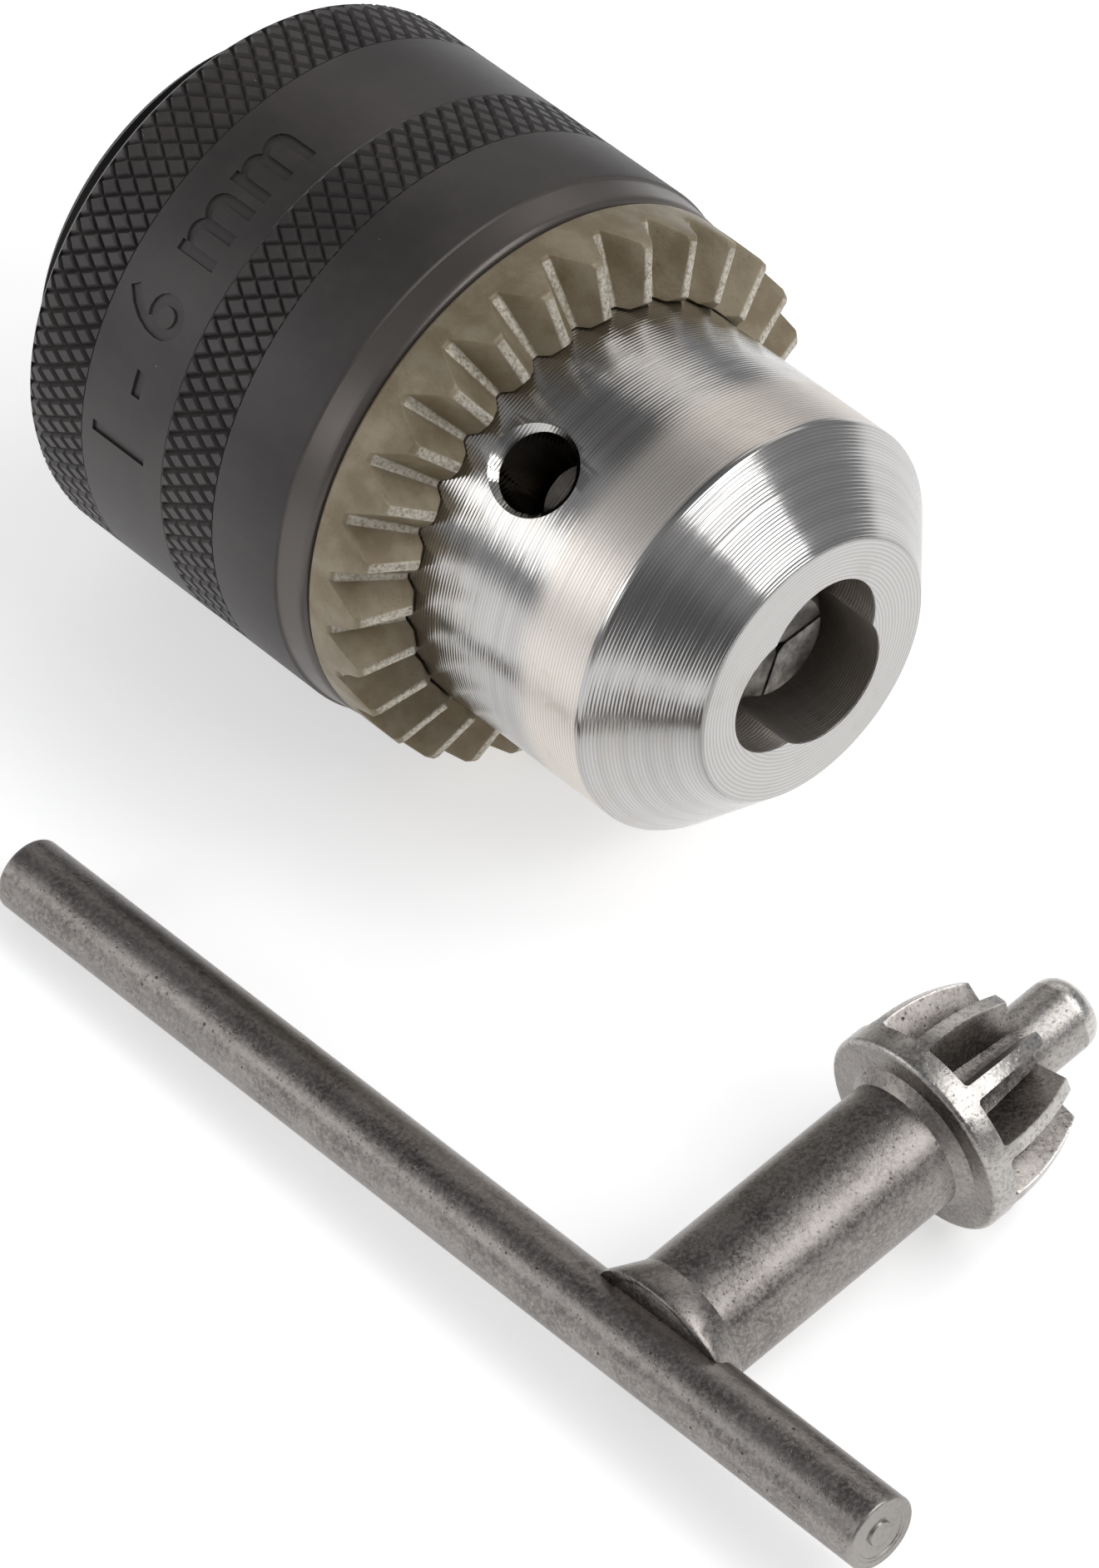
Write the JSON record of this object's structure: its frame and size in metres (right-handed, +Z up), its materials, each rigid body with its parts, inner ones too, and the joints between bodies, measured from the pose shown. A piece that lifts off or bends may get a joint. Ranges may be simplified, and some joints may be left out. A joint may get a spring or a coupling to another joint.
{
  "type": "drill chuck",
  "caption": "Keyed three-jaw drill chuck lying on its side with a knurled black sleeve and toothed ring, and its loose T-bar key.",
  "frame": {"origin": "on the chuck axis, in the plane of the chuck body's back face; the bench is 15 mm below", "axes": "+X along the chuck axis towards the nose, +Z up, the key lies on the -Y side ahead of the sleeve"},
  "size_m": [0.0769, 0.045, 0.03],
  "materials": {
    "turned_steel": "bright turned",
    "black_oxide": "satin black oxide",
    "ring_steel": "brown granular",
    "nut_steel": "oiled",
    "jaw_steel": "ground",
    "key_steel": "pitted gunmetal",
    "bar_steel": "pitted gunmetal"
  },
  "bodies": {
    "body": {"body": "turned_steel"},
    "sleeve": {"sleeve_shell": "black_oxide", "gear_ring": "ring_steel", "nut_half_a": "nut_steel", "nut_half_b": "nut_steel"},
    "jaw_1": {"jaw_1": "jaw_steel"},
    "jaw_2": {"jaw_2": "jaw_steel"},
    "jaw_3": {"jaw_3": "jaw_steel"},
    "key": {"key_shank": "key_steel", "key_bar": "bar_steel", "key_weld_flash": "key_steel"}
  },
  "joints": [
    {"name": "sleeve_turn", "type": "hinge", "parent": "body", "child": "sleeve", "pos_m": [0.02, 0, 0], "axis": [1, 0, 0], "range_deg": [0, 3380]},
    {"name": "jaw_1_slide", "type": "slide", "parent": "body", "child": "jaw_1", "axis": [-0.9781, 0.0872, 0.1887], "range_m": [0, 0.01442]},
    {"name": "jaw_2_slide", "type": "slide", "parent": "body", "child": "jaw_2", "axis": [-0.9781, -0.2071, -0.0188], "range_m": [0, 0.01442]},
    {"name": "jaw_3_slide", "type": "slide", "parent": "body", "child": "jaw_3", "axis": [-0.9781, 0.1198, -0.1699], "range_m": [0, 0.01442]},
    {"name": "key_slide", "type": "slide", "parent": "body", "child": "key", "axis": [0, -1, 0], "range_m": [0, 0.06]}
  ],
  "couplings": [
    {"joint": "jaw_1_slide", "follows": "sleeve_turn", "m_per_rad": 0.00024407},
    {"joint": "jaw_2_slide", "follows": "sleeve_turn", "m_per_rad": 0.00024407},
    {"joint": "jaw_3_slide", "follows": "sleeve_turn", "m_per_rad": 0.00024407}
  ]
}
